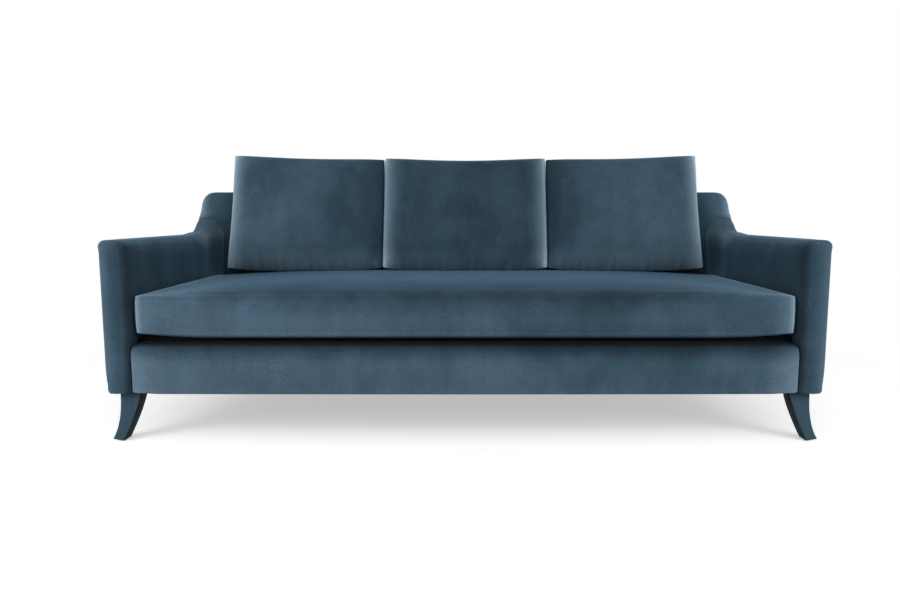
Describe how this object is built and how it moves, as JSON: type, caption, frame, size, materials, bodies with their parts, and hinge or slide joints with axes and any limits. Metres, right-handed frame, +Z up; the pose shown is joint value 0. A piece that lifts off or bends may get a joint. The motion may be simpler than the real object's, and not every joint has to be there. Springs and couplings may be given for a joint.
{
  "type": "three-seat sofa",
  "caption": "Three-seat velvet sofa with scooped slim arms, bench seat cushion, loose back cushions and splayed sabre legs.",
  "frame": {"origin": "on the floor, under the middle of the sofa's width and depth", "axes": "+X along the width, +Y from the front to the back, +Z up"},
  "size_m": [2.214, 0.9498, 0.9397],
  "materials": {
    "velvet": "cut-pile velvet",
    "lining": "woven lining",
    "foam": "open-cell foam",
    "timber": "sawn hardwood",
    "painted_timber": "satin paint",
    "spring_steel": "drawn wire",
    "zinc_steel": "zinc plated",
    "nylon": "moulded nylon",
    "jute": "woven strap",
    "cambric": "non-woven cloth"
  },
  "bodies": {
    "frame": {"back_top_rail": "timber", "back_tuck_rail": "timber", "back_webbing": "jute", "centre_stretcher": "timber", "dust_cover": "cambric", "front_border": "velvet", "front_seat_rail": "timber", "inside_back": "velvet", "left_arm_pad": "velvet", "left_arm_rail": "timber", "left_back_stile": "timber", "left_back_upright": "timber", "left_front_glide": "nylon", "left_front_leg": "painted_timber", "left_front_leg_block": "timber", "left_front_leg_bolt": "zinc_steel", "left_front_post": "timber", "left_outside_arm": "velvet", "left_rear_glide": "nylon", "left_rear_leg": "painted_timber", "left_rear_leg_block": "timber", "left_rear_leg_bolt": "zinc_steel", "left_side_rail": "timber", "outside_back": "velvet", "rear_bottom_rail": "timber", "rear_seat_rail": "timber", "right_arm_pad": "velvet", "right_arm_rail": "timber", "right_back_stile": "timber", "right_back_upright": "timber", "right_front_glide": "nylon", "right_front_leg": "painted_timber", "right_front_leg_block": "timber", "right_front_leg_bolt": "zinc_steel", "right_front_post": "timber", "right_outside_arm": "velvet", "right_rear_glide": "nylon", "right_rear_leg": "painted_timber", "right_rear_leg_block": "timber", "right_rear_leg_bolt": "zinc_steel", "right_side_rail": "timber", "seat_deck": "lining", "seat_spring_1": "spring_steel", "seat_spring_10": "spring_steel", "seat_spring_2": "spring_steel", "seat_spring_3": "spring_steel", "seat_spring_4": "spring_steel", "seat_spring_5": "spring_steel", "seat_spring_6": "spring_steel", "seat_spring_7": "spring_steel", "seat_spring_8": "spring_steel", "seat_spring_9": "spring_steel"},
    "seat_cushion": {"seat_cushion_core": "foam", "seat_cushion_cover": "velvet"},
    "left_back_cushion": {"left_back_cushion_core": "foam", "left_back_cushion_cover": "velvet"},
    "centre_back_cushion": {"centre_back_cushion_core": "foam", "centre_back_cushion_cover": "velvet"},
    "right_back_cushion": {"right_back_cushion_core": "foam", "right_back_cushion_cover": "velvet"}
  },
  "joints": [
    {"name": "seat_cushion_slide", "type": "slide", "parent": "frame", "child": "seat_cushion", "axis": [0, -1, 0], "range_m": [0, 0.8]},
    {"name": "left_back_cushion_lift", "type": "slide", "parent": "frame", "child": "left_back_cushion", "axis": [0, 0, 1], "range_m": [0, 0.5]},
    {"name": "centre_back_cushion_lift", "type": "slide", "parent": "frame", "child": "centre_back_cushion", "axis": [0, 0, 1], "range_m": [0, 0.5]},
    {"name": "right_back_cushion_lift", "type": "slide", "parent": "frame", "child": "right_back_cushion", "axis": [0, 0, 1], "range_m": [0, 0.5]}
  ]
}
